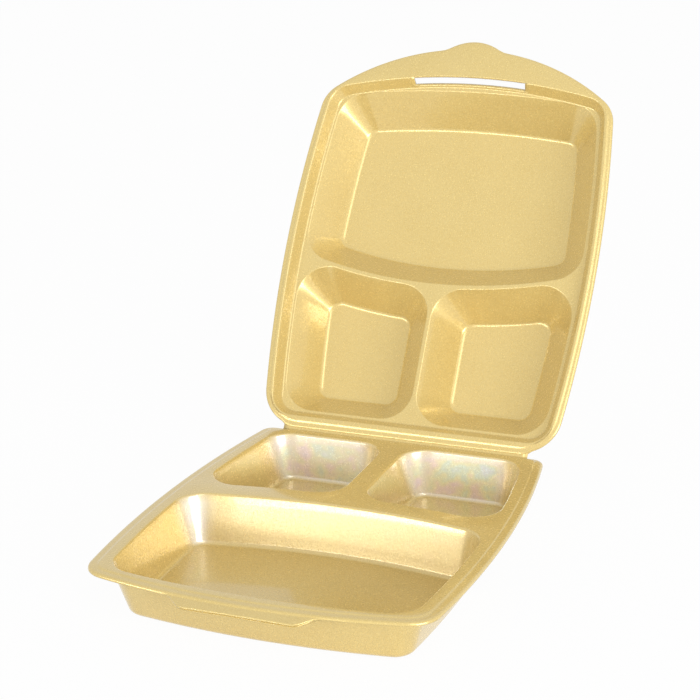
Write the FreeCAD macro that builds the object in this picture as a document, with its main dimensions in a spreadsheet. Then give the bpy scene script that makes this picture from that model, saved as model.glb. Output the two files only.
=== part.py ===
import FreeCAD, Part
import math
import os

import Sketcher
from FreeCAD import Placement, Rotation, Vector

# Hinged food container, formed from one sheet of foam: a tray with three
# compartments and a lid of the same plan, joined by a fold along the short back
# side. Both halves are drawn in the same way: x to the right, y from the fold
# towards the front, z from the rim plane into the depth of the half.

# Driving dimensions in millimetres and degrees
SIZES = {
    "tray_sheet_thickness": 2.5,
    "lid_sheet_thickness": 2.2,
    "tray_wall_width": 2.7,
    "lid_wall_width": 2.9,
    "tray_depth": 31.0,
    "lid_depth": 31.0,
    "opening_angle": 123.0,
    "rest_gap": 0.3,
    # Rim outlines
    "tray_half_width": 103.7,
    "tray_side_radius": 777.0,
    "tray_side_apex": 138.0,
    "tray_rim_front": 248.0,
    "lid_half_width": 104.4,
    "lid_side_radius": 860.0,
    "lid_side_apex": 128.0,
    "lid_rim_front": 247.4,
    "rim_front_radius": 371.0,
    "tray_rim_back": 0.8,
    "tray_front_corner": 18.0,
    "tray_back_corner": 8.0,
    "lid_rim_back": 2.0,
    "lid_front_corner": 24.0,
    "lid_back_corner": 25.0,
    "rim_thickness": 3.4,
    # Fold
    "fold_half_length": 81.0,
    "fold_thickness": 1.2,
    "fold_clearance": 0.2,
    "fold_overlap": 3.0,
    # Tray compartments, measured at their upper edges
    "tray_rim_width": 12.3,
    "tray_large_front": 236.2,
    "tray_front_radius": 470.0,
    "tray_large_back": 109.6,
    "tray_divider_radius": 389.0,
    "tray_cross_divider": 15.7,
    "tray_half_divider": 6.75,
    "tray_small_back": 9.0,
    "tray_side_run": 8.5,
    "tray_front_run": 11.0,
    "tray_divider_run": 8.0,
    "tray_back_run": 4.5,
    "tray_edge_corner": 18.0,
    "tray_floor_corner": 13.0,
    "tray_floor_round": 3.0,
    "tray_edge_round": 1.6,
    # Lid step and compartments, measured at their outer edges
    "step_side_inset": 5.3,
    "step_front_inset": 2.0,
    "step_back_inset": 6.3,
    "step_run": 4.2,
    "step_depth": 7.0,
    "step_corner": 15.0,
    "step_foot_corner": 12.0,
    "lid_rim_width": 11.3,
    "lid_large_front": 238.4,
    "lid_front_radius": 620.0,
    "lid_large_back": 105.9,
    "lid_divider_radius": 320.0,
    "lid_cross_divider": 2.6,
    "lid_half_divider": 1.3,
    "lid_small_back": 14.0,
    "lid_side_run": 17.0,
    "lid_front_run": 19.5,
    "lid_divider_run": 17.0,
    "lid_back_run": 14.0,
    "lid_edge_corner": 20.0,
    "lid_floor_corner": 12.0,
    "lid_floor_round": 4.5,
    "lid_edge_round": 1.0,
    # Lid flap with its finger bump, and the slot
    "flap_front": 266.0,
    "flap_radius": 150.0,
    "flap_corner": 21.0,
    "flap_thickness": 2.2,
    "bump_front": 270.8,
    "bump_radius": 30.0,
    "bump_half_width": 17.5,
    "bump_root": 244.0,
    "bump_corner": 3.0,
    "slot_half_length": 37.7,
    "slot_back": 239.7,
    "slot_front": 246.3,
    "slot_corner": 3.0,
    # Tray tongue
    "tongue_half_width": 36.5,
    "tongue_front": 254.0,
    "tongue_radius": 90.0,
    "tongue_root": 242.0,
    "tongue_top": 1.4,
    "tongue_thickness": 2.8,
    "tongue_corner": 1.5,
}

document = FreeCAD.newDocument("FoamContainer")
sheet = document.addObject("Spreadsheet::Sheet", "Sizes")
for row, (alias, number) in enumerate(SIZES.items(), 1):
    sheet.set(f"A{row}", alias)
    sheet.set(f"B{row}", str(number))
    sheet.setAlias(f"B{row}", alias)
document.recompute()


# Sums of sizes, written as words: "tray_depth - tray_sheet_thickness"
def value(words):
    """Number of a sum of sizes."""
    total = 0.0
    sign = 1.0
    for word in words.split():
        if word in ("+", "-"):
            sign = 1.0 if word == "+" else -1.0
        else:
            total += sign * SIZES[word]
    return total


def formula(words):
    """Spreadsheet expression of a sum of sizes."""
    return " ".join(word if word in ("+", "-") else f"Sizes.{word}" for word in words.split())


def opposite(words):
    """The same sum with every sign turned round."""
    tokens = words.split()
    if tokens[0] not in ("+", "-"):
        tokens.insert(0, "+")
    swap = {"+": "-", "-": "+"}
    return " ".join(swap.get(token, token) for token in tokens)


def plus(words, more):
    """Sum of two sums."""
    if not more:
        return words
    tail = more if more.split()[0] in ("+", "-") else f"+ {more}"
    return f"{words} {tail}"


# Sides of an outline. An arc bulges out of the outline, or into it when hollow;
# its centre lies on the line x = 0 when across is None.
# Run is how far the wall below a compartment's side leans in.
def arc_side(across, along, radius, hollow=False, run=""):
    shape = {"kind": "arc", "across": across, "along": along, "radius": radius}
    return dict(shape, hollow=hollow, run=run)


def line_side(axis, place, inward, run=""):
    return {"kind": "line", "axis": axis, "place": place, "inward": inward, "run": run}


def moved_in(side, inset):
    """The side moved into its outline by a sum of sizes."""
    if not inset:
        return side
    if side["kind"] == "arc":
        change = inset if side["hollow"] else opposite(inset)
        return dict(side, radius=plus(side["radius"], change))
    change = inset if side["inward"] > 0 else opposite(inset)
    return dict(side, place=plus(side["place"], change))


def floor_sides(sides):
    """Sides of a compartment where its walls meet the floor."""
    return [moved_in(side, side["run"]) for side in sides]


def curve(side, shift):
    """Centre and radius of an arc side, or point and direction of a line side,
    after it is moved inwards by shift millimetres."""
    if side["kind"] == "arc":
        across = value(side["across"]) if side["across"] else 0.0
        grow = shift if side["hollow"] else -shift
        return Vector(across, value(side["along"]), 0), value(side["radius"]) + grow
    place = value(side["place"]) + side["inward"] * shift
    if side["axis"] == "x":
        return Vector(place, 0, 0), Vector(0, 1, 0)
    return Vector(0, place, 0), Vector(1, 0, 0)


def foot(side, point):
    """Point of a side that is nearest to a point."""
    first, second = curve(side, 0.0)
    if side["kind"] == "arc":
        return first + (point - first).normalize() * second
    return first + second * (point - first).dot(second)


def corner_centre(side, other, radius, middle):
    """Centre of the corner arc that touches two sides, near the outline's middle."""
    shapes = []
    for one in (side, other):
        first, second = curve(one, radius)
        if one["kind"] == "arc":
            shapes.append(Part.Circle(first, Vector(0, 0, 1), second))
        else:
            shapes.append(Part.Line(first, first + second))
    found = shapes[0].intersect(shapes[1])
    points = [Vector(point.X, point.Y, 0) for point in found]
    return min(points, key=lambda point: point.distanceToPoint(middle))


def circle_arc(centre, radius, start, end):
    """Arc that runs anticlockwise from start to end."""
    first = math.atan2(start.y - centre.y, start.x - centre.x)
    last = math.atan2(end.y - centre.y, end.x - centre.x)
    if last <= first:
        last += 2.0 * math.pi
    return Part.ArcOfCircle(Part.Circle(centre, Vector(0, 0, 1), radius), first, last)


def origin_plane(body, role):
    return next(item for item in body.Origin.OriginFeatures if item.Role == role)


def new_sketch(body, name, level=""):
    """Sketch on the plane of the rim, or as deep as a sum of sizes."""
    sketch = body.newObject("Sketcher::SketchObject", name)
    sketch.AttachmentSupport = [(origin_plane(body, "XY_Plane"), "")]
    sketch.MapMode = "FlatFace"
    if level:
        sketch.AttachmentOffset = Placement(Vector(0, 0, value(level)), Rotation())
        sketch.setExpression("AttachmentOffset.Base.z", formula(level))
    return sketch


def bind(sketch, label, words, *constraint):
    """Add a sized constraint and tie it to the sheet."""
    index = sketch.addConstraint(Sketcher.Constraint(*constraint, value(words)))
    sketch.renameConstraint(index, label)
    sketch.setExpression(f"Constraints.{label}", formula(words))


ORIGIN = (-1, 1)
UPRIGHT_AXIS = -2
CENTRE = 3


def bind_side(sketch, number, index, side):
    """Tie a side to its sizes."""
    if side["kind"] == "arc":
        bind(sketch, f"side{number}_radius", side["radius"], "Radius", index)
        bind(sketch, f"side{number}_along", side["along"], "DistanceY", *ORIGIN, index, CENTRE)
        if side["across"]:
            bind(sketch, f"side{number}_across", side["across"], "DistanceX", *ORIGIN, index, CENTRE)
        else:
            sketch.addConstraint(Sketcher.Constraint("PointOnObject", index, CENTRE, UPRIGHT_AXIS))
    elif side["axis"] == "x":
        sketch.addConstraint(Sketcher.Constraint("Vertical", index))
        bind(sketch, f"side{number}_place", side["place"], "DistanceX", *ORIGIN, index, 1)
    else:
        sketch.addConstraint(Sketcher.Constraint("Horizontal", index))
        bind(sketch, f"side{number}_place", side["place"], "DistanceY", *ORIGIN, index, 1)


def outline(body, name, sides, corners, inset="", level=""):
    """Closed outline of sides, given anticlockwise, with a round corner after each
    side. Corners are sums of sizes, one per side."""
    sketch = new_sketch(body, name, level)
    sides = [moved_in(side, inset) for side in sides]
    radii = [value(corner) for corner in corners]
    count = len(sides)
    starts = [curve(side, 0.0) for side in sides]
    places = [
        first + Vector(second if index == 0 else -second if index == 2 else 0,
                       second if index == 1 else -second if index == 3 else 0, 0)
        if side["kind"] == "arc" and not side["hollow"] else first
        for index, (side, (first, second)) in enumerate(zip(sides, starts))
    ]
    middle = Vector((places[0].x + places[2].x) / 2.0, (places[1].y + places[3].y) / 2.0, 0)
    centres = [corner_centre(sides[i], sides[(i + 1) % count], radii[i], middle) for i in range(count)]
    pieces = []
    ends = []
    for index, side in enumerate(sides):
        begin = foot(side, centres[index - 1])
        finish = foot(side, centres[index])
        if side["kind"] == "line":
            geometry = Part.LineSegment(begin, finish)
            ends.append((1, 2))
        elif side["hollow"]:
            geometry = circle_arc(*curve(side, 0.0), finish, begin)
            ends.append((2, 1))
        else:
            geometry = circle_arc(*curve(side, 0.0), begin, finish)
            ends.append((1, 2))
        pieces.append(sketch.addGeometry(geometry))
        after = sides[(index + 1) % count]
        rounding = circle_arc(centres[index], radii[index], finish, foot(after, centres[index]))
        pieces.append(sketch.addGeometry(rounding))
        ends.append((1, 2))
    total = len(pieces)
    for index in range(total):
        after = (index + 1) % total
        joint = (pieces[index], ends[index][1], pieces[after], ends[after][0])
        sketch.addConstraint(Sketcher.Constraint("Tangent", *joint))
    for number, side in enumerate(sides):
        bind_side(sketch, number, pieces[2 * number], side)
        bind(sketch, f"corner{number}", corners[number], "Radius", pieces[2 * number + 1])
    return sketch


# Features
SAME_LEVEL = 0.001


def pad(body, sketch, name, length):
    feature = body.newObject("PartDesign::Pad", name)
    feature.Profile = sketch
    feature.Length = value(length)
    feature.setExpression("Length", formula(length))
    return feature


def loft(body, kind, name, profile, section):
    feature = body.newObject(f"PartDesign::{kind}", name)
    feature.Profile = profile
    feature.Sections = [section]
    feature.Ruled = True
    return feature


def flat_faces(shape, level):
    """Flat faces of a shape that lie at a depth."""
    faces = []
    for face in shape.Faces:
        box = face.BoundBox
        if abs(box.ZMin - level) < SAME_LEVEL and abs(box.ZMax - level) < SAME_LEVEL:
            faces.append(face)
    return faces


def edge_names(shape, edges):
    names = []
    for index, edge in enumerate(shape.Edges, 1):
        if any(edge.isSame(other) for other in edges):
            names.append(f"Edge{index}")
    return names


def fillet(body, name, edges, radius):
    """Round edges of the body's last feature."""
    base = body.Tip
    feature = body.newObject("PartDesign::Fillet", name)
    feature.Base = (base, edge_names(base.Shape, edges))
    feature.Radius = value(radius)
    feature.setExpression("Radius", formula(radius))
    document.recompute()
    return feature


# Outlines of the two halves
def compartment_sides(half, inner_divider):
    """The three compartments of one half, as lists of sides: right, front, left and
    back. The divider between large and small ones is an arc about the line x = 0."""
    reach = f"{half}_half_width - {half}_side_radius"
    radius = f"{half}_side_radius - {half}_rim_width"
    apex = f"{half}_side_apex"
    side_run = f"{half}_side_run"
    divider_run = f"{half}_divider_run"
    right = arc_side(reach, apex, radius, run=side_run)
    left = arc_side(opposite(reach), apex, radius, run=side_run)
    front_centre = f"{half}_large_front - {half}_front_radius"
    front = arc_side(None, front_centre, f"{half}_front_radius", run=f"{half}_front_run")
    bow_centre = f"{half}_large_back + {half}_divider_radius"
    bow = f"{half}_divider_radius"
    large_back = arc_side(None, bow_centre, bow, run=divider_run)
    cross = f"{bow} + {half}_cross_divider"
    small_front = arc_side(None, bow_centre, cross, hollow=True, run=divider_run)
    small_back = line_side("y", f"{half}_small_back", 1, run=f"{half}_back_run")
    right_inner = line_side("x", inner_divider, 1, run=divider_run)
    left_inner = line_side("x", opposite(inner_divider), -1, run=divider_run)
    return {
        "Large": [right, front, left, large_back],
        "SmallRight": [right, small_front, right_inner, small_back],
        "SmallLeft": [left_inner, small_front, left, small_back],
    }


def rim_sides(half, side_inset="", front_inset="", back_inset=""):
    """Rim outline of one half, or the same outline further in."""
    reach = f"{half}_half_width - {half}_side_radius"
    apex = f"{half}_side_apex"
    right = moved_in(arc_side(reach, apex, f"{half}_side_radius"), side_inset)
    left = moved_in(arc_side(opposite(reach), apex, f"{half}_side_radius"), side_inset)
    front_centre = f"{half}_rim_front - rim_front_radius"
    front = moved_in(arc_side(None, front_centre, "rim_front_radius"), front_inset)
    back = moved_in(line_side("y", f"{half}_rim_back", 1), back_inset)
    return [right, front, left, back]


def add_rim(body, half):
    """Flat rim all round, and the thin leaf that runs back to the fold."""
    corners = [f"{half}_front_corner"] * 2 + [f"{half}_back_corner"] * 2
    pad(body, outline(body, "RimOutline", rim_sides(half), corners), "Rim", "rim_thickness")
    leaf = new_sketch(body, "FoldOutline")
    near = value("fold_clearance")
    far = value(f"{half}_rim_back + fold_overlap")
    reach = value("fold_half_length")
    points = [Vector(-reach, near, 0), Vector(reach, near, 0), Vector(reach, far, 0), Vector(-reach, far, 0)]
    lines = [leaf.addGeometry(Part.LineSegment(points[i], points[(i + 1) % 4])) for i in range(4)]
    for index in range(4):
        leaf.addConstraint(Sketcher.Constraint("Coincident", lines[index], 2, lines[(index + 1) % 4], 1))
        kind = "Horizontal" if index % 2 == 0 else "Vertical"
        leaf.addConstraint(Sketcher.Constraint(kind, lines[index]))
    bind(leaf, "near", "fold_clearance", "DistanceY", *ORIGIN, lines[0], 1)
    bind(leaf, "far", f"{half}_rim_back + fold_overlap", "DistanceY", *ORIGIN, lines[2], 1)
    bind(leaf, "right", "fold_half_length", "DistanceX", *ORIGIN, lines[0], 2)
    bind(leaf, "left", "- fold_half_length", "DistanceX", *ORIGIN, lines[0], 1)
    pad(body, leaf, "Fold", "fold_thickness")


def add_compartments(body, half, edge_level=""):
    """Outer wall of each compartment, then each hollow, then their round edges."""
    edge_corners = [f"{half}_edge_corner"] * 4
    floor_corners = [f"{half}_floor_corner"] * 4
    wall = f"{half}_wall_width"
    compartments = compartment_sides(half, f"{half}_half_divider")
    outer_corners = [f"{half}_edge_corner + {wall}"] * 4
    outer_floor_corners = [f"{half}_floor_corner + {wall}"] * 4
    for name, sides in compartments.items():
        top = outline(body, f"{name}OuterEdge", sides, outer_corners, f"- {wall}", edge_level)
        foot_level = f"{half}_depth"
        below = floor_sides(sides)
        low = outline(body, f"{name}OuterFoot", below, outer_floor_corners, f"- {wall}", foot_level)
        loft(body, "AdditiveLoft", f"{name}Wall", top, low)
    return compartments, edge_corners, floor_corners


def cut_compartments(body, half, made, edge_level=""):
    compartments, edge_corners, floor_corners = made
    floor = f"{half}_depth - {half}_sheet_thickness"
    for name, sides in compartments.items():
        top = outline(body, f"{name}Edge", sides, edge_corners, "", edge_level)
        low = outline(body, f"{name}Floor", floor_sides(sides), floor_corners, "", floor)
        loft(body, "SubtractiveLoft", f"{name}Hollow", top, low)
    document.recompute()


def round_compartments(body, half, edge_level=""):
    """Soft edges: where each wall meets its floor, inside and out, and at each mouth."""
    floor = value(f"{half}_depth - {half}_sheet_thickness")
    edges = [edge for face in flat_faces(body.Tip.Shape, floor) for edge in face.OuterWire.Edges]
    fillet(body, "FloorRound", edges, f"{half}_floor_round")
    feet = flat_faces(body.Tip.Shape, value(f"{half}_depth"))
    edges = [edge for face in feet for edge in face.OuterWire.Edges]
    fillet(body, "FootRound", edges, f"{half}_floor_round + {half}_sheet_thickness")
    level = value(edge_level) if edge_level else 0.0
    rim = max(flat_faces(body.Tip.Shape, level), key=lambda face: len(face.Wires))
    edges = [edge for wire in rim.Wires if not wire.isSame(rim.OuterWire) for edge in wire.Edges]
    fillet(body, "EdgeRound", edges, f"{half}_edge_round")


def crescent(body, name, root, corner, thickness, level=""):
    """Flat piece with an arc for its front side, from the sizes of its name."""
    reach = f"{name}_half_width"
    radius = f"{name}_radius"
    sides = [
        line_side("x", reach, -1),
        arc_side(None, f"{name}_front - {radius}", radius),
        line_side("x", opposite(reach), 1),
        line_side("y", root, 1),
    ]
    sketch = outline(body, f"{name.capitalize()}Outline", sides, [corner] * 4, "", level)
    pad(body, sketch, name.capitalize(), thickness)


def add_tongue(body):
    """Locking tongue below the front of the tray's rim."""
    crescent(body, "tongue", "tongue_root", "tongue_corner", "tongue_thickness", "tongue_top")


def add_step(body):
    """The lid's rim steps down all round into a shallow well."""
    corners = ["step_corner"] * 4
    foot_corners = ["step_foot_corner"] * 4
    upper = rim_sides("lid", "step_side_inset", "step_front_inset", "step_back_inset")
    wall = "lid_wall_width"
    outer_corners = [f"step_corner + {wall}"] * 4
    outer_foot_corners = [f"step_foot_corner + {wall}"] * 4
    top = outline(body, "StepOuterEdge", upper, outer_corners, f"- {wall}")
    depth = "step_depth + lid_sheet_thickness"
    low = outline(body, "StepOuterFoot", upper, outer_foot_corners, f"step_run - {wall}", depth)
    loft(body, "AdditiveLoft", "StepWall", top, low)
    return upper, corners, foot_corners


def cut_step(body, made):
    upper, corners, foot_corners = made
    top = outline(body, "StepEdge", upper, corners)
    low = outline(body, "StepFoot", upper, foot_corners, "step_run", "step_depth")
    loft(body, "SubtractiveLoft", "StepHollow", top, low)


def add_flap(body):
    """The lid's sheet runs out beyond the rim's front, to a flap with a round front
    and a bump to take hold of."""
    right, front, left, back = rim_sides("lid")
    sides = [right, arc_side(None, "flap_front - flap_radius", "flap_radius"), left, back]
    corners = ["flap_corner", "flap_corner", "lid_back_corner", "lid_back_corner"]
    pad(body, outline(body, "FlapOutline", sides, corners), "Flap", "flap_thickness")
    crescent(body, "bump", "bump_root", "bump_corner", "flap_thickness")


def cut_slot(body):
    """Slot for the tongue, through the step at the front of the lid."""
    sides = [
        line_side("x", "slot_half_length", -1),
        line_side("y", "slot_front", -1),
        line_side("x", "- slot_half_length", 1),
        line_side("y", "slot_back", 1),
    ]
    sketch = outline(body, "SlotOutline", sides, ["slot_corner"] * 4)
    feature = body.newObject("PartDesign::Pocket", "Slot")
    feature.Profile = sketch
    feature.Length = value("lid_depth")
    feature.setExpression("Length", formula("lid_depth"))
    feature.Reversed = True
    document.recompute()
    if not feature.Shape.Volume < feature.BaseFeature.Shape.Volume:
        raise RuntimeError("the slot cut nothing")


def make_tray():
    body = document.addObject("PartDesign::Body", "base_tray")
    body.Label = "base_tray"
    add_rim(body, "tray")
    add_tongue(body)
    made = add_compartments(body, "tray")
    cut_compartments(body, "tray", made)
    round_compartments(body, "tray")
    return body


def make_lid():
    body = document.addObject("PartDesign::Body", "lid")
    body.Label = "lid"
    add_rim(body, "lid")
    add_flap(body)
    step = add_step(body)
    made = add_compartments(body, "lid", "step_depth")
    cut_step(body, step)
    cut_compartments(body, "lid", made, "step_depth")
    cut_slot(body)
    round_compartments(body, "lid", "step_depth")
    return body


tray = make_tray()
lid = make_lid()

# The frame stands on the middle of the tray's large underside. The fold's line is
# half the gap above the tray's rim. The tray is turned about x, so that its depth
# points down; the closed lid is turned about z, then opened about the fold.
fold_place = value("tray_large_back + tray_large_front") / 2.0
fold_height = value("tray_depth") + value("rest_gap") / 2.0
tray.Placement = Placement(Vector(0, fold_place, value("tray_depth")), Rotation(Vector(1, 0, 0), 180))
closed = Placement(Vector(0, 0, value("rest_gap") / 2.0), Rotation(Vector(0, 0, 1), 180))
opened = Placement(Vector(0, fold_place, fold_height), Rotation(Vector(-1, 0, 0), value("opening_angle")))
lid.Placement = opened * closed
document.recompute()

for item in document.Objects:
    if "Invalid" in item.State or "Error" in item.State:
        raise RuntimeError(f"{item.Name} failed: {item.State}")
os.makedirs("parts", exist_ok=True)
for body in (tray, lid):
    shape = body.Shape
    if shape.isNull() or not shape.isValid() or len(shape.Solids) != 1:
        raise RuntimeError(f"{body.Label} is not one valid solid")
    shape.exportStep(f"parts/{body.Label}.step")
    print(body.Label, "volume", round(shape.Volume / 1000.0, 1), "cm3", shape.BoundBox)
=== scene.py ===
# %% [markdown]
# # A hinged foam meal box, with a glossy gold film
#
# The box is one sheet of foam. A heated sheet is drawn into a mould, so every
# hollow has leaning walls and soft bends, and one sheet gives both halves: a tray
# with three compartments and a lid of the same plan, joined by a pressed fold.
# The CAD model is loaded as the frame. The pieces below are dressed over it.

import math

import bmesh
import bpy
import numpy as np
from mathutils import Matrix, Vector


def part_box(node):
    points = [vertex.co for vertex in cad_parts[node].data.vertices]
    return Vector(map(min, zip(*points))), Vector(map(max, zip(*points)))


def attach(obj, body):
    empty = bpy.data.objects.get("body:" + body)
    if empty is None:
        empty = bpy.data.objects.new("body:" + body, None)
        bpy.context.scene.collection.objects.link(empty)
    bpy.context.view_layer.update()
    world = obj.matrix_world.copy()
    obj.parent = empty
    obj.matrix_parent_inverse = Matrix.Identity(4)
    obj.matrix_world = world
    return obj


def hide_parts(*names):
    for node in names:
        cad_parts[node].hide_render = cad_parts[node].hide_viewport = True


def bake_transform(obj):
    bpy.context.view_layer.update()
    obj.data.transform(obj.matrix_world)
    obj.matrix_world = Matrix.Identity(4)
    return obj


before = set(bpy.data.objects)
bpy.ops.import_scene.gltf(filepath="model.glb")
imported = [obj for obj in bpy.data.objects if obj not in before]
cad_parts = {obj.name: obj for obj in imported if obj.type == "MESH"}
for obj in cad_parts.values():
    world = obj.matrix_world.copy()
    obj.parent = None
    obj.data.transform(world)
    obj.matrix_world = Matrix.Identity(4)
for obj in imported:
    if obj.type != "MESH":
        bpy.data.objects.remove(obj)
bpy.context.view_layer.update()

# %% [markdown]
# ## Places taken from the frame
#
# Each half is drawn flat, in millimetres: x to the right, v from the fold to the
# front, d into the hollow. Two functions carry such points to the frame. The fold
# is the joint's axis, and the lid is open by the angle that the CAD model has.

# %% Fold, depths and the two mappings
MILLIMETRE = 0.001
OPENING = math.radians(123.0)
REST_GAP = 0.3
tray_low, tray_high = [np.array(corner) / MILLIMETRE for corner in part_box("base_tray")]
TRAY_DEPTH = tray_high[2] - tray_low[2]
FOLD_CLEARANCE = 0.2
FOLD_Y = tray_high[1] + FOLD_CLEARANCE
FOLD_Z = tray_high[2] + REST_GAP / 2.0
print("fold at", round(FOLD_Y, 2), round(FOLD_Z, 2), "tray depth", round(TRAY_DEPTH, 2))


def tray_place(points):
    """The tray lies level: y falls from the fold as v grows, and z falls with d."""
    x, v, d = np.moveaxis(points, -1, 0)
    return np.stack([x, FOLD_Y - v, tray_high[2] - d], axis=-1) * MILLIMETRE


def lid_place(points):
    """The closed lid lies over the tray, left and right changed over, then turns about
    the fold by the opening angle: y = fold - v cos + d sin, z = fold + v sin + d cos."""
    x, v, d = np.moveaxis(points, -1, 0)
    x = -x
    d = d + REST_GAP / 2.0
    across = FOLD_Y - v * math.cos(OPENING) + d * math.sin(OPENING)
    up = FOLD_Z + v * math.sin(OPENING) + d * math.cos(OPENING)
    return np.stack([x, across, up], axis=-1) * MILLIMETRE


# %% [markdown]
# ## Outlines made of arcs
#
# The rim and every compartment have four gently bowed sides with a round corner
# between them. A side is a circle: its centre, its radius, and whether the outline
# lies inside the circle (+1) or outside it (-1). A straight side is a circle so
# large that it bends by less than a hair. Moving a side inwards only changes its
# radius, so each ring of a wall has its own exact outline.

# %% Sides and rings
STRAIGHT = 1.0e6
SIDE_POINTS = 64
CORNER_POINTS = 14


def arc(across, along, radius, bulge=1):
    """A side as a circle: its centre and radius, and +1 inside it or -1 outside."""
    return np.array([across, along, radius, bulge], float)


def line_x(place, inward):
    """Straight side at x = place; inward is the way to the outline's middle."""
    return arc(place + inward * STRAIGHT, 0.0, STRAIGHT)


def line_v(place, inward):
    """Straight side at v = place; inward is the way to the outline's middle."""
    return arc(0.0, place + inward * STRAIGHT, STRAIGHT)


def meeting(first, first_radius, second, second_radius, near):
    """Where two circles meet, taking the point nearer to a given one: the common
    chord's foot on the line of centres, and half the chord to either side."""
    gap = second[:2] - first[:2]
    apart = np.hypot(*gap)
    along = (apart**2 + first_radius**2 - second_radius**2) / (2.0 * apart)
    half = np.sqrt(np.maximum(first_radius**2 - along**2, 0.0))
    axis = gap / apart
    normal = np.array([-axis[1], axis[0]])
    base = first[:2] + along[:, None] * axis
    one = base + half[:, None] * normal
    other = base - half[:, None] * normal
    closer = np.hypot(*(one - near).T) < np.hypot(*(other - near).T)
    return np.where(closer[:, None], one, other)


def rings(sides, insets, corners, depths, near):
    """Closed rings of points, one per row of insets, depths and corner radii.
    Each side is its circle moved in by its inset. A corner's centre lies where both
    neighbours, moved in by the corner's radius, meet. Depth runs straight along a
    side and blends over a corner. Result: rings x points x (x, v, d)."""
    count = len(sides)
    centres = []
    for i in range(count):
        j = (i + 1) % count
        radius_i = sides[i][2] - sides[i][3] * (insets[:, i] + corners)
        radius_j = sides[j][2] - sides[j][3] * (insets[:, j] + corners)
        centres.append(meeting(sides[i], radius_i, sides[j], radius_j, near[i]))
    parts = []
    for i in range(count):
        j = (i + 1) % count
        side = sides[i]
        own = (side[2] - side[3] * insets[:, i])[:, None]
        start = centres[i - 1] - side[:2]
        end = centres[i] - side[:2]
        first = np.arctan2(start[:, 1], start[:, 0])
        turn = np.angle(np.exp(1j * (np.arctan2(end[:, 1], end[:, 0]) - first)))
        along = np.linspace(0.0, 1.0, SIDE_POINTS)
        angle = first[:, None] + turn[:, None] * along
        depth = np.repeat(depths[:, i][:, None], SIDE_POINTS, axis=1)
        side_x = side[0] + own * np.cos(angle)
        side_v = side[1] + own * np.sin(angle)
        parts.append(np.stack([side_x, side_v, depth], axis=-1))
        after = sides[j]
        leave = (centres[i] - side[:2]) * side[3]
        reach = (centres[i] - after[:2]) * after[3]
        first = np.arctan2(leave[:, 1], leave[:, 0])
        turn = np.angle(np.exp(1j * (np.arctan2(reach[:, 1], reach[:, 0]) - first)))
        along = np.linspace(0.0, 1.0, CORNER_POINTS + 2)[1:-1]
        angle = first[:, None] + turn[:, None] * along
        blend = depths[:, i][:, None] + (depths[:, j] - depths[:, i])[:, None] * along
        ring_x = centres[i][:, 0][:, None] + corners[:, None] * np.cos(angle)
        ring_v = centres[i][:, 1][:, None] + corners[:, None] * np.sin(angle)
        parts.append(np.stack([ring_x, ring_v, blend], axis=-1))
    return np.concatenate(parts, axis=1)


# %% [markdown]
# ## The bend of a formed wall
#
# Foam can't be folded sharply, so a wall leaves the rim in a small arc, runs
# straight and sloping, and joins the floor in a larger arc. Each arc turns by the
# wall's slope, and it starts one tangent length, r tan(slope / 2), from the corner
# that the straight lines would have.

# %% Wall profile
LIP_STEPS = 7
WALL_STEPS = 5
FLOOR_STEPS = 9
CORNER_SHARE_LIMITS = -0.3, 1.3


def wall_profile(run, top, bottom, lip_radius, floor_radius):
    """Inset and depth along a wall that leans in by run between two depths."""
    drop = bottom - top
    slope = math.atan2(drop, run)
    turn = np.linspace(0.0, slope, LIP_STEPS)
    lip = lip_radius * math.tan(slope / 2.0)
    lip_inset = -lip + lip_radius * np.sin(turn)
    lip_depth = top + lip_radius * (1.0 - np.cos(turn))
    turn = np.linspace(slope, 0.0, FLOOR_STEPS)
    base = floor_radius * math.tan(slope / 2.0)
    floor_inset = run + base - floor_radius * np.sin(turn)
    floor_depth = bottom - floor_radius * (1.0 - np.cos(turn))
    along = np.linspace(0.0, 1.0, WALL_STEPS + 2)[1:-1]
    wall_inset = lip_inset[-1] + (floor_inset[0] - lip_inset[-1]) * along
    wall_depth = lip_depth[-1] + (floor_depth[0] - lip_depth[-1]) * along
    inset = np.concatenate([lip_inset, wall_inset, floor_inset])
    depth = np.concatenate([lip_depth, wall_depth, floor_depth])
    return inset, depth


def formed_wall(sides, runs, top, bottom, lip_radius, floor_radius, edge_corner, floor_corner, near):
    """Rings of a compartment's wall, from its lip down to its floor. The corner radius
    goes from edge_corner to floor_corner in proportion to the inset."""
    profiles = [wall_profile(run, top, bottom, lip_radius, floor_radius) for run in runs]
    insets = np.stack([inset for inset, depth in profiles], axis=1)
    depths = np.stack([depth for inset, depth in profiles], axis=1)
    share = np.clip(insets.mean(axis=1) / np.mean(runs), *CORNER_SHARE_LIMITS)
    corners = edge_corner + (floor_corner - edge_corner) * share
    corners = np.where(insets.mean(axis=1) < 0.0, edge_corner - insets.mean(axis=1), corners)
    return rings(sides, insets, corners, depths, near)


# %% [markdown]
# ## Where the film shines like pearl, and a painted highlight
#
# The film is stretched most at the tray's back walls and back left bends, and there
# it shows pastel colours. On the back walls the same number also pales the colour
# nearly to white: a painted highlight for the bright panels that those walls mirror.
# A number from 0 to 1 at each point of a wall says how much.
# Distances here are counted in points along a ring.

# %% Pearl and painted highlight of a wall
# Spread of the corner's bell, then softness and setback of the back wall's ends
CORNER_SPREAD = 6.5
PEARL_AND_HIGHLIGHT_EDGE = 2.0
PEARL_AND_HIGHLIGHT_STOP = 4.0
# How steeply the pearl and the painted highlight rise from the wall's top and foot
PEARL_AND_HIGHLIGHT_FADE = 12.0


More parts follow.
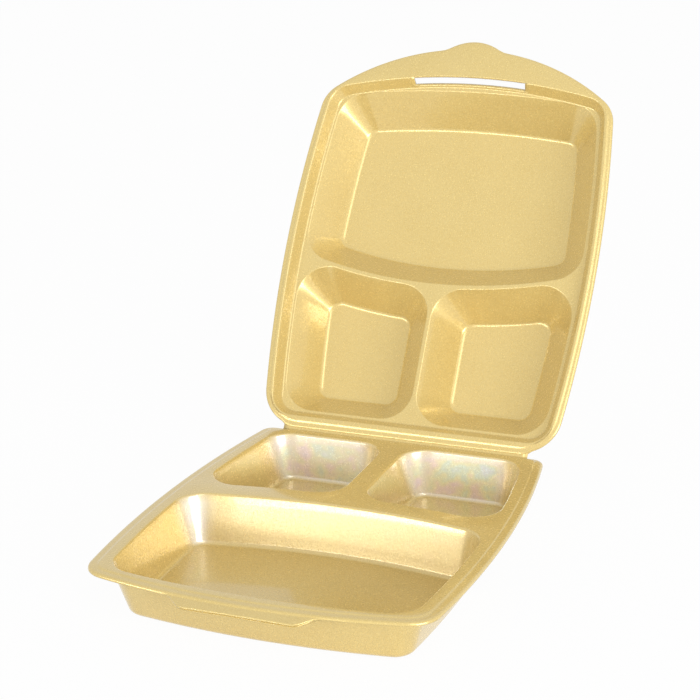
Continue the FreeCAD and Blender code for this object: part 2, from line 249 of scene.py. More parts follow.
def stretch_pearl_and_highlight(wall, bottom, back_pearl_and_highlight):
    """Pearl and painted highlight of a tray wall's points. Along the ring it is 1 at
    the back left corner, falls off in a bell curve of the number of points away, and
    stays at the back wall's given value along the back wall, where it is partly a
    painted highlight. It fades to nothing at the wall's top and foot."""
    columns = np.arange(wall.shape[1])
    corner = 2.0 * (SIDE_POINTS + CORNER_POINTS) + SIDE_POINTS + CORNER_POINTS / 2.0
    bell = np.exp(-((columns - corner) / CORNER_SPREAD) ** 2)
    ends = corner, corner + SIDE_POINTS + CORNER_POINTS
    rise = 1.0 / (1.0 + np.exp(-(columns - ends[0]) / PEARL_AND_HIGHLIGHT_EDGE))
    fall = 1.0 / (1.0 + np.exp((columns - ends[1] + PEARL_AND_HIGHLIGHT_STOP) / PEARL_AND_HIGHLIGHT_EDGE))
    # Along the back wall: pearl colours, and a painted highlight that pales them towards white
    around = np.maximum(bell, back_pearl_and_highlight * rise * fall)
    share = np.clip(wall[..., 2] / bottom, 0.0, 1.0)
    return around[None, :] * np.clip(PEARL_AND_HIGHLIGHT_FADE * share * (1.0 - share), 0.0, 1.0)


# %% [markdown]
# ## The plan of each half
#
# These are the sizes of the CAD model, so the dressed piece lies on it. One large
# compartment takes the front, a bowed divider crosses the box, and two small
# compartments share the back.

# %% Plans
def corner_guess(left, right, back, front):
    """Corners of the box around an outline: after the right, front, left and back sides."""
    return np.array([[right, front], [left, front], [left, back], [right, back]], float)


def half_plan(half_width, side_radius, apex, rim_front, rim_radius, rim_back, rim_width, large_front,
              front_radius, large_back, divider_radius, cross_divider, half_divider, small_back):
    """Sides of the rim and of the three compartments, each as right, front, left
    and back, with a guess of each corner's place."""
    reach = half_width - side_radius
    rim = [
        arc(reach, apex, side_radius),
        arc(0.0, rim_front - rim_radius, rim_radius),
        arc(-reach, apex, side_radius),
        line_v(rim_back, 1),
    ]
    inner = side_radius - rim_width
    right = arc(reach, apex, inner)
    left = arc(-reach, apex, inner)
    front = arc(0.0, large_front - front_radius, front_radius)
    bow = large_back + divider_radius
    back = arc(0.0, bow, divider_radius)
    small_front = arc(0.0, bow, divider_radius + cross_divider, -1)
    small_end = line_v(small_back, 1)
    right_inner = line_x(half_divider, 1)
    left_inner = line_x(-half_divider, -1)
    far = half_width - rim_width
    middle = large_back - cross_divider
    right_corners = corner_guess(half_divider, far, small_back, middle)
    left_corners = corner_guess(-far, -half_divider, small_back, middle)
    return {
        "rim": (rim, corner_guess(-half_width, half_width, rim_back, rim_front)),
        "large": ([right, front, left, back], corner_guess(-far, far, large_back, large_front)),
        "right": ([right, small_front, right_inner, small_end], right_corners),
        "left": ([left_inner, small_front, left, small_end], left_corners),
    }


RIM_RADIUS = 371.0
TRAY_FRONT = 248.0
TRAY_BACK = 0.8
LID_BACK = 2.0
FLAP_FRONT = 266.0
FLAP_RADIUS = 150.0
TRAY = half_plan(
    half_width=103.7, side_radius=777.0, apex=138.0, rim_front=TRAY_FRONT, rim_radius=RIM_RADIUS,
    rim_back=TRAY_BACK, rim_width=12.3, large_front=236.2, front_radius=470.0, large_back=109.6,
    divider_radius=389.0, cross_divider=15.7, half_divider=6.75, small_back=9.0,
)
LID = half_plan(
    half_width=104.4, side_radius=860.0, apex=128.0, rim_front=FLAP_FRONT, rim_radius=FLAP_RADIUS,
    rim_back=LID_BACK, rim_width=11.3, large_front=238.4, front_radius=620.0, large_back=105.9,
    divider_radius=320.0, cross_divider=2.6, half_divider=1.3, small_back=14.0,
)
TRAY_SHEET = 2.5
LID_SHEET = 2.2
LID_DEPTH = 31.0
TRAY_FLOOR = TRAY_DEPTH - TRAY_SHEET
LID_FLOOR = LID_DEPTH - LID_SHEET
STEP_DEPTH = 7.0

# %% [markdown]
# ## One mesh from rings and flat lands
#
# The lands between the compartments are flat, so they are filled with triangles
# between the outer ring and the compartments' lips. A floor is closed by smaller and
# smaller copies of its last ring. Both share their rings' points, so nothing gapes.

# %% Mesh builder
FLOOR_SCALES = 0.8, 0.6, 0.4, 0.2


def add_piece(name, mesh):
    """Shade a mesh smooth and put it in the scene as an object."""
    mesh.polygons.foreach_set("use_smooth", np.ones(len(mesh.polygons), bool))
    piece = bpy.data.objects.new(name, mesh)
    bpy.context.collection.objects.link(piece)
    return piece


class Sheet:
    """Points and faces of one formed sheet, gathered ring by ring."""

    def __init__(self):
        self.points = []
        self.pearls_and_highlights = []
        self.faces = []
        self.total = 0

    def add(self, points, pearl_and_highlight=None):
        """Store points and return their numbers, in the same layout. Pearl, from 0 to
        1, says how strongly the film shows its rainbow, and the near-white of a painted
        highlight, at each point."""
        flat = points.reshape(-1, 3)
        self.points.append(flat)
        self.pearls_and_highlights.append(np.zeros(len(flat)) if pearl_and_highlight is None else pearl_and_highlight.reshape(-1))
        numbers = np.arange(self.total, self.total + len(flat)).reshape(points.shape[:-1])
        self.total += len(flat)
        return numbers

    def wall(self, numbers, kept=None):
        """Quads between neighbouring rings, facing the hollow's inside. Kept, rows by
        columns of quads, says which quads are made."""
        after = np.roll(numbers, -1, axis=1)
        quads = np.stack([numbers[:-1], numbers[1:], after[1:], after[:-1]], axis=-1)
        self.faces.append(quads.reshape(-1, 4) if kept is None else quads[kept])

    def floor(self, numbers, ring):
        """Close a ring: its copies, drawn together towards their middle, then a fan."""
        middle = ring.mean(axis=0)
        scales = np.array(FLOOR_SCALES)[:, None, None]
        inner = middle + (ring - middle) * scales
        inner[..., 2] = ring[:, 2]
        more = self.add(inner)
        stack = np.concatenate([numbers[None, :], more], axis=0)
        self.wall(stack)
        centre = self.add(middle[None, :])[0]
        last = stack[-1]
        after = np.roll(last, -1)
        fan = np.stack([last, np.full_like(last, centre), after], axis=-1)
        self.faces.append(fan)

    def land(self, loops):
        """Triangles between an outer loop and the loops inside it."""
        points = np.concatenate(self.points)
        flat = bmesh.new()
        edges = []
        for loop in loops:
            verts = [flat.verts.new(points[number]) for number in loop]
            edges += [flat.edges.new((verts[i - 1], verts[i])) for i in range(len(verts))]
        flat.verts.index_update()
        order = np.concatenate([np.asarray(loop) for loop in loops])
        bmesh.ops.triangle_fill(
            flat, use_beauty=True, use_dissolve=False, edges=edges, normal=(0, 0, -1))
        flat.normal_update()
        found = []
        for face in flat.faces:
            corners = [vert.index for vert in face.verts]
            if face.normal.z > 0.0:
                corners.reverse()
            found.append(corners)
        flat.free()
        self.faces.append(order[np.array(found)])

    def build(self, name, place):
        """Blender mesh, its points carried to the frame by place."""
        mesh = bpy.data.meshes.new(name)
        faces = [face.tolist() for block in self.faces for face in block]
        mesh.from_pydata(place(np.concatenate(self.points)), [], faces)
        mesh.validate()
        mesh.update()
        # The pearl number: rainbow colours, and on the tray's back walls a painted highlight
        pearl_and_highlight = mesh.attributes.new("pearl_and_highlight", "FLOAT", "POINT")
        pearl_and_highlight.data.foreach_set("value", np.concatenate(self.pearls_and_highlights))
        piece = add_piece(name, mesh)
        print(name, len(mesh.vertices), "points", len(mesh.polygons), "faces")
        return piece


# %% [markdown]
# ## The tray
#
# Three hollows hang from one level rim. The rim's edge turns down in two small
# steps, as a trimmed and pressed sheet does, and this catches the light in lines.

# %% Tray shell
RUNS = {"side": 8.5, "front": 11.0, "divider": 8.0, "back": 4.5}
TRAY_RUNS = {
    "large": [RUNS["side"], RUNS["front"], RUNS["side"], RUNS["divider"]],
    "right": [RUNS["side"], RUNS["divider"], RUNS["divider"], RUNS["back"]],
    "left": [RUNS["divider"], RUNS["divider"], RUNS["side"], RUNS["back"]],
}
TRAY_BENDS = {"lip_radius": 1.6, "floor_radius": 3.0, "edge_corner": 18.0, "floor_corner": 9.0}
TRAY_RIM_CORNERS = 18.0, 8.0
TRAY_BACK_SHARE = 0.5
# Pearl of each compartment's back wall, partly a painted highlight that pales the wall towards white
BACK_PEARL_AND_HIGHLIGHT = {"large": 0.15, "right": 1.0, "left": 0.95}
# Points with v over HALF_LENGTH belong to the front half
HALF_LENGTH = 124.0
# The fold: half its length, where its edge lies, and the band of the rim that follows
FOLD_HALF_LENGTH = 81.0
FOLD_EDGE = 0.5
FOLD_BAND = 9.0
FOLD_SOFTNESS = 0.5
# The tongue: its straight front, its ends and their slope, and how soft its bends are
TONGUE_FRONT = 254.0
TONGUE_HALF_WIDTH = 41.0
TONGUE_TAPER = 0.85
TONGUE_DROP = 0.2
TONGUE_SHOULDER = 0.6
TONGUE_ROOT = 0.35
# Inset and depth of the edge's rings, then how much they follow the tongue and fold
TRAY_EDGE = [
    [6.4, 0.0, 0.0, 0.0], [6.0, 0.04, 0.0, 0.05], [5.6, 0.18, 0.0, 0.1], [5.2, 0.38, 0.0, 0.2],
    [4.8, 0.46, 0.0, 0.4], [3.2, 0.5, 0.0, 0.7], [2.2, 0.53, 0.0, 0.85], [1.6, 0.58, 0.0, 0.92],
    [1.1, 0.7, 0.0, 0.96], [0.7, 0.9, 0.0, 0.98], [0.4, 1.15, 0.0, 1.0], [0.25, 1.4, 0.0, 1.0],
    [0.2, 1.55, 0.02, 1.0], [0.18, 1.6, 0.12, 1.0], [0.16, 1.62, 0.9, 1.0], [0.12, 1.7, 0.98, 1.0],
    [0.08, 1.9, 1.0, 1.0], [0.05, 2.4, 1.0, 1.0],
]


def soft_step(distance, width):
    """Zero where distance is well below nothing, then distance itself: a soft corner."""
    return width * np.logaddexp(0.0, distance / width)


def edge_rings(plan, steps, front_corner, back_corner, front_share=1.0, back_share=1.0):
    """Rings of a rim's edge. Steps are rows of inset, depth and pull from inside out;
    the corners keep their centres, so their radius shrinks as the inset grows. Along
    the front and back the insets are multiplied by a share."""
    sides, near = plan
    levels = np.array(steps, float)
    insets = np.repeat(levels[:, :1], 4, axis=1)
    insets[:, 1] *= front_share
    insets[:, 3] *= back_share
    depths = np.repeat(levels[:, 1:2], 4, axis=1)
    front = rings(sides, insets, front_corner - levels[:, 0], depths, near)
    back = rings(sides, insets, back_corner - levels[:, 0], depths, near)
    along = front.shape[1] // 4
    turned = np.concatenate([front[:, : 2 * along], back[:, 2 * along:]], axis=1)
    share = np.linspace(0.0, 1.0, SIDE_POINTS)[None, :, None]
    right = slice(0, SIDE_POINTS)
    left = slice(2 * along, 2 * along + SIDE_POINTS)
    turned[:, right] = back[:, right] * (1.0 - share) + front[:, right] * share
    turned[:, left] = front[:, left] * (1.0 - share) + back[:, left] * share
    return turned


def front_arc(x, apex, radius):
    """Place v of an arc about the line x = 0 whose foremost point is its apex. Beyond
    the circle's widest points the place falls away."""
    inside = np.maximum(radius**2 - x**2, 0.0)
    return apex - radius + np.sqrt(inside) - np.maximum(np.abs(x) - radius, 0.0)


def pull_front(points, pull, reach, drop):
    """Move the front of a rim's edge out by reach(x), and down by drop times that."""
    x = points[..., 0]
    ahead = points[..., 1] > HALF_LENGTH
    amount = np.where(ahead, reach(x), 0.0) * pull[:, None]
    points[..., 1] += amount
    points[..., 2] += drop * amount


def pull_fold(points, pull, rim_back):
    """Move the back of a rim's edge out to the fold, between the fold's ends."""
    x = points[..., 0]
    inside = 1.0 / (1.0 + np.exp((np.abs(x) - FOLD_HALF_LENGTH) / FOLD_SOFTNESS))
    behind = points[..., 1] < rim_back + FOLD_BAND
    points[..., 1] -= np.where(behind, inside, 0.0) * pull[:, None] * (rim_back - FOLD_EDGE)


def tongue_reach(x):
    """How far the tongue stands out of the rim's front. Its own front is straight, and
    each end runs back at a slope: the softly lesser of the two, and never below zero."""
    rim = front_arc(x, TRAY_FRONT, RIM_RADIUS)
    straight = TONGUE_FRONT - rim
    end = TONGUE_TAPER * (TONGUE_HALF_WIDTH - np.abs(x))
    lesser = straight - soft_step(straight - end, TONGUE_SHOULDER)
    return soft_step(lesser, TONGUE_ROOT)


def make_tray():
    """The rim's edge, then the three hollows, then the flat land between them."""
    sheet = Sheet()
    edge = edge_rings(TRAY["rim"], TRAY_EDGE, *TRAY_RIM_CORNERS, back_share=TRAY_BACK_SHARE)
    pulls = np.array(TRAY_EDGE)
    pull_front(edge, pulls[:, 2], tongue_reach, TONGUE_DROP)
    pull_fold(edge, pulls[:, 3], TRAY_BACK)
    rim = sheet.add(edge)
    sheet.wall(rim[::-1])
    loops = [rim[0]]
    for name in ("large", "right", "left"):
        sides, near = TRAY[name]
        wall = formed_wall(sides, TRAY_RUNS[name], 0.0, TRAY_FLOOR, near=near, **TRAY_BENDS)
        numbers = sheet.add(wall, stretch_pearl_and_highlight(wall, TRAY_FLOOR, BACK_PEARL_AND_HIGHLIGHT[name]))
        sheet.wall(numbers)
        sheet.floor(numbers[-1], wall[-1])
        loops.append(numbers[0])
    sheet.land(loops)
    return sheet.build("tray_shell", tray_place)


tray_shell = make_tray()


# %% [markdown]
# ## The lid
#
# The lid's rim steps down to a shallow ledge before its compartments begin, so the
# closed lid sits over the tray. Its walls lean more than the tray's. Beyond the
# front lies a flap with a bump to pull, and the slot that holds the tray's tongue.

# %% Lid shell
LID_RUNS = {
    "large": [17.0, 19.5, 17.0, 17.0],
    "right": [17.0, 17.0, 17.0, 14.0],
    "left": [17.0, 17.0, 17.0, 14.0],
}
LID_BENDS = {"lip_radius": 1.2, "floor_radius": 4.5, "edge_corner": 20.0, "floor_corner": 8.0}
LID_RIM_CORNERS = 21.0, 25.0
LID_FRONT_SHARE = 0.4
# Inset and depth of the edge's rings, then how much they follow the flap and fold
LID_EDGE = [
    [3.9, 0.0, 1.0, 0.0], [3.6, 0.04, 1.0, 0.1], [3.3, 0.18, 1.0, 0.2], [3.0, 0.36, 1.0, 0.3],
    [2.6, 0.46, 1.0, 0.5], [1.7, 0.52, 1.0, 0.8], [1.1, 0.6, 1.0, 0.9], [0.7, 0.75, 1.0, 0.95],
    [0.35, 1.0, 1.0, 1.0], [0.15, 1.35, 1.0, 1.0], [0.05, 1.8, 1.0, 1.0], [0.05, 2.1, 1.0, 1.0],
]
BUMP_FRONT = 271.3
BUMP_RADIUS = 30.0
BUMP_ROOT = 0.8
STEP_FRONT = 247.4
STEP_RUN = 4.2
STEP_LIP_RADIUS = 1.2
STEP_FOOT_RADIUS = 1.4
STEP_STARTS = 5.3, 2.0, 5.3, 6.3
STEP_CORNER_INSETS = -2.0, 0.0, STEP_RUN, 6.0
STEP_CORNERS = 17.0, 15.0, 12.0, 11.0
SLOT_HALF_LENGTH = 37.7
SLOT_FOOT = 4.6
SLOT_EDGE = 0.5


def bump_reach(x):
    """How far the bump stands out of the flap's front: its arc less the flap's, with
    soft hollow corners."""
    flap = front_arc(x, FLAP_FRONT, FLAP_RADIUS)
    bump = front_arc(x, BUMP_FRONT, BUMP_RADIUS)
    return soft_step(bump - flap, BUMP_ROOT)


def add_step(sheet):
    """The step from the rim down to the ledge. The slot is the quads left out: those
    between its ends, ahead of the middle and above its foot. The flat ring at the lip
    stays whole, so that the slot has a straight edge."""
    sides, near = LID["rim"]
    sides = [sides[0], arc(0.0, STEP_FRONT - RIM_RADIUS, RIM_RADIUS), sides[2], sides[3]]
    inset, depth = wall_profile(STEP_RUN, 0.0, STEP_DEPTH, STEP_LIP_RADIUS, STEP_FOOT_RADIUS)
    inset = np.concatenate([[inset[0] - SLOT_EDGE], inset])
    depth = np.concatenate([[0.0], depth])
    insets = np.array(STEP_STARTS)[None, :] + inset[:, None]
    depths = np.repeat(depth[:, None], 4, axis=1)
    corners = np.interp(inset, STEP_CORNER_INSETS, STEP_CORNERS)
    step = rings(sides, insets, corners, depths, near)
    stair = sheet.add(step)
    middle = (step[0] + np.roll(step[0], -1, axis=0)) / 2.0
    beside_slot = (np.abs(middle[:, 0]) > SLOT_HALF_LENGTH) | (middle[:, 1] < HALF_LENGTH)
    past_slot = depth[:-1] > SLOT_FOOT
    past_slot[0] = True
    sheet.wall(stair, beside_slot[None, :] | past_slot[:, None])
    return stair


def make_lid():
    """The rim's edge with the flap and bump, then the step, then the three hollows."""
    sheet = Sheet()
    edge = edge_rings(LID["rim"], LID_EDGE, *LID_RIM_CORNERS, front_share=LID_FRONT_SHARE)
    pulls = np.array(LID_EDGE)
    pull_front(edge, pulls[:, 2], bump_reach, 0.0)
    pull_fold(edge, pulls[:, 3], LID_BACK)
    rim = sheet.add(edge)
    sheet.wall(rim[::-1])
    stair = add_step(sheet)
    sheet.land([rim[0], stair[0]])
    loops = [stair[-1]]
    for name in ("large", "right", "left"):
        sides, near = LID[name]
        wall = formed_wall(sides, LID_RUNS[name], STEP_DEPTH, LID_FLOOR, near=near, **LID_BENDS)
        numbers = sheet.add(wall)
        sheet.wall(numbers)
        sheet.floor(numbers[-1], wall[-1])
        loops.append(numbers[0])
    sheet.land(loops)
    return sheet.build("lid_shell", lid_place)


lid_shell = make_lid()

# %% [markdown]
# ## The fold
#
# On the real box the fold is the same sheet, pressed thin so that it bends. Here it
# is a strip whose cross-section runs along the tray's back edge, round an arc about
# the fold's axis, and up the lid.

# %% Fold strip
# Setback of the strip's ends, its reach along each half, and its distance behind them
STRIP_END = 0.5
STRIP_COLUMNS = 40
STRIP_REACH = 3.4
STRIP_ROWS = 8
STRIP_LEVEL = 1.35
STRIP_THICKNESS = 0.5
BEND_STEPS = 9
# Row, counted from each outer end, whose point is returned as the strip's start or end
BLEND_ROW = 3


def make_fold():
    """A thin strip that bends from one half to the other: points along the fold on a
    circle's arc that touches both sheets, given by x and the angle turned."""
    along = np.linspace(-FOLD_HALF_LENGTH + STRIP_END, FOLD_HALF_LENGTH - STRIP_END, STRIP_COLUMNS)
    tray_way = np.array([0.0, -1.0, 0.0])
    lid_way = np.array([0.0, -math.cos(OPENING), math.sin(OPENING)])
    tray_down = np.array([0.0, 0.0, -1.0])
    lid_down = np.array([0.0, math.sin(OPENING), math.cos(OPENING)])
    fold = np.array([0.0, FOLD_Y, FOLD_Z])
    reach = np.linspace(STRIP_REACH, 0.0, STRIP_ROWS)
    tray_side = fold + reach[:, None] * tray_way + STRIP_LEVEL * tray_down
    lid_side = fold + reach[::-1][:, None] * lid_way + STRIP_LEVEL * lid_down
    turn = np.linspace(0.0, 1.0, BEND_STEPS)[1:-1, None]
    bend = tray_down * (1.0 - turn) + lid_down * turn
    bend = fold + STRIP_LEVEL * bend / np.linalg.norm(bend, axis=1, keepdims=True)
    section = np.concatenate([tray_side, bend, lid_side])
    grid = section[:, None, :] + along[None, :, None] * np.array([1.0, 0.0, 0.0])
    rows, columns = grid.shape[:2]
    numbers = np.arange(rows * columns).reshape(rows, columns)
    corners = [numbers[:-1, :-1], numbers[1:, :-1], numbers[1:, 1:], numbers[:-1, 1:]]
    quads = np.stack(corners, axis=-1)
    mesh = bpy.data.meshes.new("fold_strip")
    mesh.from_pydata(grid.reshape(-1, 3) * MILLIMETRE, [], quads.reshape(-1, 4)[:, ::-1].tolist())
    mesh.update()
    strip = add_piece("fold_strip", mesh)
    thicken = strip.modifiers.new("thickness", "SOLIDIFY")
    thicken.thickness = STRIP_THICKNESS * MILLIMETRE
    thicken.offset = 0.0
    start = Vector(tray_side[BLEND_ROW]) * MILLIMETRE
    end = Vector(lid_side[STRIP_ROWS - 1 - BLEND_ROW]) * MILLIMETRE
    print("fold_strip", rows, "by", columns)
    return strip, start, end


fold_strip, fold_start, fold_end = make_fold()

# %% [markdown]
# ## Thickness
#
# The surfaces above are the film side that the photo shows. Solidify adds the sheet's
# thickness behind them, measured square to the surface, so walls and floors are as
# thick as each other. The share just under 1 leaves each shell a little thinner than
# the CAD's sheet. The new faces at the back take the piece's second material.

# %% Thickness
SHELL_SHARE = 0.96
for shell, sheet_thickness in ((tray_shell, TRAY_SHEET), (lid_shell, LID_SHEET)):
    thicken = shell.modifiers.new("thickness", "SOLIDIFY")
    thicken.thickness = sheet_thickness * MILLIMETRE * SHELL_SHARE
    thicken.offset = -1.0
    thicken.use_even_offset = True
    thicken.material_offset = 1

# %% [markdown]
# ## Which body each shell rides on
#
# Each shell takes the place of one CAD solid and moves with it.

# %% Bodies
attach(tray_shell, "base_tray")
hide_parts("base_tray")
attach(lid_shell, "lid")
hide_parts("lid")

# %% [markdown]
# ## Small tools for the material
#
# The film's look is built from a few kinds of node: noise for grain, a range that
# sets how far a noise reaches, and a mix of two colours. Short functions make each of
# them, so that the material itself reads as a recipe.

# %% Node tools
MIX_FACTOR, MIX_FIRST, MIX_SECOND, MIX_RESULT = 0, 6, 7, 2


def link(material, source, target):
    """Join one node's output to another node's input."""
    material.node_tree.links.new(source, target)


def noise(material, place, scale, detail, seed):
    """Noise in metres: scale is the number of grains along a metre."""
    node = material.node_tree.nodes.new("ShaderNodeTexNoise")
    node.noise_dimensions = "4D"
    node.inputs["Scale"].default_value = scale
    node.inputs["Detail"].default_value = detail
    node.inputs["W"].default_value = seed
    link(material, place, node.inputs["Vector"])
    return node.outputs["Fac"]


def spread(material, factor, low, high, from_low=0.3, from_high=0.7):
    """Stretch the range from_low to from_high of a factor onto low to high. The
    defaults are the range that most of a noise's values lie in."""
    node = material.node_tree.nodes.new("ShaderNodeMapRange")
    node.inputs["From Min"].default_value = from_low
    node.inputs["From Max"].default_value = from_high
    node.inputs["To Min"].default_value = low
    node.inputs["To Max"].default_value = high
    link(material, factor, node.inputs["Value"])
    return node.outputs["Result"]


def blend_colours(material, factor, first, second):
    """Mix of two colours; each is a colour or another node's output."""
    node = material.node_tree.nodes.new("ShaderNodeMix")
    node.data_type = "RGBA"
    link(material, factor, node.inputs[MIX_FACTOR])
    for socket, entry in ((node.inputs[MIX_FIRST], first), (node.inputs[MIX_SECOND], second)):
        if isinstance(entry, bpy.types.NodeSocket):
            link(material, entry, socket)
        else:
            socket.default_value = (*entry, 1.0)
    return node.outputs[MIX_RESULT]


# %% [markdown]
# ## Pearl gold film
#
# The foam wears a thin, bright film. Light that bounces in it gives a pale gold with
# a soft sheen, and in tight bends it splits into pastel colours. So the base is part
# metal under a clear coat. Fine specks, slow clouds and a faint grain in roughness and
# bump break up the even colour. The pearl attribute, kept with the mesh, lets the
# pastel patches show where the sheet was stretched most, and pales the tray's back
# walls nearly to white: a painted highlight for the panels that they mirror. The
# outsides have none.

# %% Film
RAINBOW = [
    (0.30, (0.72, 0.52, 0.86)), (0.40, (0.95, 0.62, 0.72)), (0.48, (0.95, 0.80, 0.42)),
    (0.56, (0.86, 0.90, 0.30)), (0.64, (0.52, 0.84, 0.60)), (0.74, (0.55, 0.78, 0.95)),
]
# Scale and detail of each noise
SPECK = 1500.0, 2.0
CLOUD = 38.0, 3.0
GRAIN = 700.0, 3.0
PATCHES = 95.0, 1.5
CLOUD_SHARE = 0.35
ROUGHNESS = 0.2, 0.3
SATURATION = 0.1, 0.4
SATURATION_PEARL_AND_HIGHLIGHT = 0.8, 1.0
SHINE = {"Metallic": 0.3, "Specular IOR Level": 0.25, "Coat Weight": 0.65, "Coat Roughness": 0.07}
BUMP_STRENGTH = 0.1
BUMP_DISTANCE = 0.1 * MILLIMETRE
PEARL_AND_HIGHLIGHT_STRENGTH = 1.0
# Near-white that the pearl number mixes in: a painted highlight, not the film's own colour
PAINTED_HIGHLIGHT_WHITE = (0.98, 0.96, 0.93)
# Light and dark gold of each half
TRAY_GOLD = (0.76, 0.59, 0.235), (0.63, 0.46, 0.155)
LID_GOLD = (0.75, 0.59, 0.245), (0.65, 0.48, 0.165)


def rainbow(material, place, seed):
    """Soft patches of the film's interference colours, in their order, from a slow noise."""
    ramp = material.node_tree.nodes.new("ShaderNodeValToRGB")
    elements = ramp.color_ramp.elements
    while len(elements) < len(RAINBOW):
        elements.new(0.5)
    for element, (position, colour) in zip(elements, RAINBOW):
        element.position = position
        element.color = (*colour, 1.0)
    link(material, noise(material, place, *PATCHES, seed), ramp.inputs["Fac"])
    return ramp.outputs["Color"]


def gold_film(name, light, dark, seed, pearl_and_highlight_strength):
    """Pearl gold film on foam: a part-metal base with fine grain, under a clear coat.
    Where the pearl number is high, the colour is paled to a painted highlight.
    """
    material = bpy.data.materials.new(name)
    material.use_nodes = True
    nodes = material.node_tree.nodes
    shader = nodes["Principled BSDF"]
    place = nodes.new("ShaderNodeTexCoord").outputs["Object"]
    speck = noise(material, place, *SPECK, seed)
    cloud = noise(material, place, *CLOUD, seed + 1.0)
    grain = noise(material, place, *GRAIN, seed + 2.0)
    tint = blend_colours(material, spread(material, speck, 0.0, 1.0), dark, light)
    cloudy = blend_colours(material, spread(material, cloud, 0.0, CLOUD_SHARE), tint, light)
    pearl_and_highlight = nodes.new("ShaderNodeAttribute")
    pearl_and_highlight.attribute_name = "pearl_and_highlight"
    strength = spread(material, pearl_and_highlight.outputs["Fac"], 0.0, pearl_and_highlight_strength, 0.0, 1.0)
    saturation = spread(material, pearl_and_highlight.outputs["Fac"], *SATURATION, *SATURATION_PEARL_AND_HIGHLIGHT)
    # Pastel colours, mostly paled to white as a painted highlight; the rainbow is strongest where
    # the pearl is highest
    pastel_and_highlight = blend_colours(material, saturation, PAINTED_HIGHLIGHT_WHITE, rainbow(material, place, seed + 3.0))
    film = blend_colours(material, strength, cloudy, pastel_and_highlight)
    link(material, film, shader.inputs["Base Color"])
    link(material, spread(material, grain, *ROUGHNESS), shader.inputs["Roughness"])
    for socket, value in SHINE.items():
        shader.inputs[socket].default_value = value
    bump = nodes.new("ShaderNodeBump")
    bump.inputs["Strength"].default_value = BUMP_STRENGTH
    bump.inputs["Distance"].default_value = BUMP_DISTANCE
    link(material, grain, bump.inputs["Height"])
    link(material, bump.outputs["Normal"], shader.inputs["Normal"])
    return material


tray_film = gold_film("tray_film", *TRAY_GOLD, seed=1.0, pearl_and_highlight_strength=PEARL_AND_HIGHLIGHT_STRENGTH)
tray_outside = gold_film("tray_outside", *TRAY_GOLD, seed=9.0, pearl_and_highlight_strength=0.0)
lid_film = gold_film("lid_film", *LID_GOLD, seed=5.0, pearl_and_highlight_strength=PEARL_AND_HIGHLIGHT_STRENGTH)
lid_outside = gold_film("lid_outside", *LID_GOLD, seed=13.0, pearl_and_highlight_strength=0.0)
piece_films = (
    (tray_shell, (tray_film, tray_outside)),
    (lid_shell, (lid_film, lid_outside)),
    (fold_strip, (tray_film,)),
)
for piece, films in piece_films:
    for film in films:
        piece.data.materials.append(film)
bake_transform(fold_strip)

# %% [markdown]
# ## Camera
#
# The camera stands in front, a little to the right and above, as in the photo. Its
# place, turn and lens come from a fit of the box's known outline to the picture. A
# long lens keeps the two halves from growing apart in size.

# %% Camera
CAMERA_PLACE = Vector((364.9, -858.5, 444.8)) * MILLIMETRE
AZIMUTH = math.radians(21.15)
ELEVATION = math.radians(17.91)
ROLL = math.radians(-0.72)
LENS = 96.27
SENSOR_WIDTH = 36.0
camera_data = bpy.data.cameras.new("camera")
camera = bpy.data.objects.new("camera", camera_data)
bpy.context.collection.objects.link(camera)
camera.location = CAMERA_PLACE
turn = Matrix.Rotation(AZIMUTH, 4, "Z") @ Matrix.Rotation(math.radians(90.0) - ELEVATION, 4, "X")
camera.rotation_euler = (turn @ Matrix.Rotation(ROLL, 4, "Z")).to_euler()
camera_data.lens = LENS
camera_data.sensor_width = SENSOR_WIDTH
bpy.context.scene.camera = camera

# %% [markdown]
# ## Soft studio light
#
# A glossy sheet shows the lamps that it mirrors, so the lamps are large panels. The
# key stands low in front on the left, where the tray's back walls mirror it. The
# right panel lights the lid's left walls. The panel called top stands high on the
# front right and lights the back walls of the tray's small compartments.

# %% Lamps
MIDDLE = (0.0, 0.1, 0.08)
# Name, place, width, height and power of each panel
PANELS = [
    ("key", (-1.1, -2.0, 0.5), 1.8, 0.3, 16.5),
    ("right", (1.75, -1.0, 0.45), 1.2, 0.8, 25.0),
    ("top", (1.0, -1.2, 1.6), 1.0, 1.0, 8.0),
]


def softbox(name, place, aim, width, height, power):
    """A large, evenly lit panel that faces the point aim."""
    data = bpy.data.lights.new(name, "AREA")
    data.shape = "RECTANGLE"
    data.size = width
    data.size_y = height
    data.energy = power
    lamp = bpy.data.objects.new(name, data)
    bpy.context.collection.objects.link(lamp)
    lamp.location = place
    lamp.rotation_euler = (Vector(aim) - Vector(place)).to_track_quat("-Z", "Y").to_euler()


for name, place, width, height, power in PANELS:
    softbox(name, place, MIDDLE, width, height, power)

# %% [markdown]
# ## White that lights nothing
#
# The background should be white, but that white shouldn't light the box. So it is
# shown only to rays that see it directly, in a mirror image or through glass. A mix of
# two shaders then switches between the lit look and the white.

# %% Seen directly
def seen_directly(tree):
    """1 for rays of the camera, for reflections and through glass, else 0: the largest
    of the three."""
    path = tree.nodes.new("ShaderNodeLightPath")
    total = path.outputs["Is Camera Ray"]
    for name in ("Is Glossy Ray", "Is Transmission Ray"):
        largest = tree.nodes.new("ShaderNodeMath")
        largest.operation = "MAXIMUM"
        tree.links.new(total, largest.inputs[0])
        tree.links.new(path.outputs[name], largest.inputs[1])
        total = largest.outputs[0]
    return total


def switch_shaders(tree, factor, lit, white, output):
    """Give the output node lit where factor is 0 and white where it is 1."""
    mixed = tree.nodes.new("ShaderNodeMixShader")
    for number, source in enumerate((factor, lit.outputs[0], white.outputs[0])):
        tree.links.new(source, mixed.inputs[number])
    tree.links.new(mixed.outputs[0], tree.nodes[output].inputs[0])


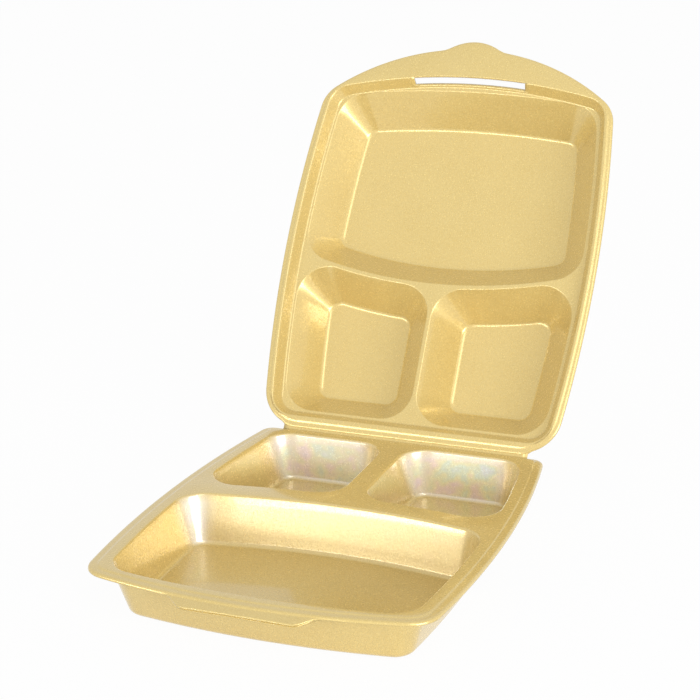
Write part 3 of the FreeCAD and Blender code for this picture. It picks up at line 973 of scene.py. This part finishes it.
# %% [markdown]
# ## A pale floor
#
# The floor is a plain sheet of white paper that runs far past the picture. Seen
# directly it is mostly plain white, of strength 1, and the rest is the lit paper, so
# the object's shadow stays as a faint darker patch under it. The lamps, the room and
# the lit paper light the object. This white doesn't, though the film mirrors it.

# %% Floor
FLOOR_REACH = 6.0
FLOOR_DROP = 0.2 * MILLIMETRE
FLOOR_WHITE_SHARE = 0.96
PAPER_COLOUR = (0.9, 0.9, 0.9, 1.0)
PAPER_ROUGHNESS = 0.9
floor_mesh = bpy.data.meshes.new("floor")
floor_corners = FLOOR_REACH * np.array([[-1, -1, 0], [1, -1, 0], [1, 1, 0], [-1, 1, 0]])
floor_mesh.from_pydata(floor_corners, [], [(0, 1, 2, 3)])
floor = bpy.data.objects.new("floor", floor_mesh)
bpy.context.collection.objects.link(floor)
floor.location.z = -FLOOR_DROP
paper = bpy.data.materials.new("paper")
paper.use_nodes = True
paper_tree = paper.node_tree
lit = paper_tree.nodes["Principled BSDF"]
lit.inputs["Base Color"].default_value = PAPER_COLOUR
lit.inputs["Roughness"].default_value = PAPER_ROUGHNESS
glow = paper_tree.nodes.new("ShaderNodeEmission")
glow.inputs["Strength"].default_value = 1.0
share = paper_tree.nodes.new("ShaderNodeMath")
share.operation = "MULTIPLY"
share.inputs[1].default_value = FLOOR_WHITE_SHARE
paper_tree.links.new(seen_directly(paper_tree), share.inputs[0])
switch_shaders(paper_tree, share.outputs[0], lit, glow, "Material Output")
floor_mesh.materials.append(paper)

# %% [markdown]
# ## The room
#
# The world is plain white where it is seen directly or mirrored, and gives a weaker,
# even light otherwise. The Standard view transform shows colours as they are written.

# %% World
ROOM_LIGHT = 0.53
WHITE = (1.0, 1.0, 1.0, 1.0)
scene = bpy.context.scene
scene.view_settings.view_transform = "Standard"
world = bpy.data.worlds.new("world")
scene.world = world
world.use_nodes = True
world_nodes = world.node_tree.nodes
room = world_nodes["Background"]
room.inputs["Color"].default_value = WHITE
room.inputs["Strength"].default_value = ROOM_LIGHT
white = world_nodes.new("ShaderNodeBackground")
white.inputs["Color"].default_value = WHITE
white.inputs["Strength"].default_value = 1.0
switch_shaders(world.node_tree, seen_directly(world.node_tree), room, white, "World Output")
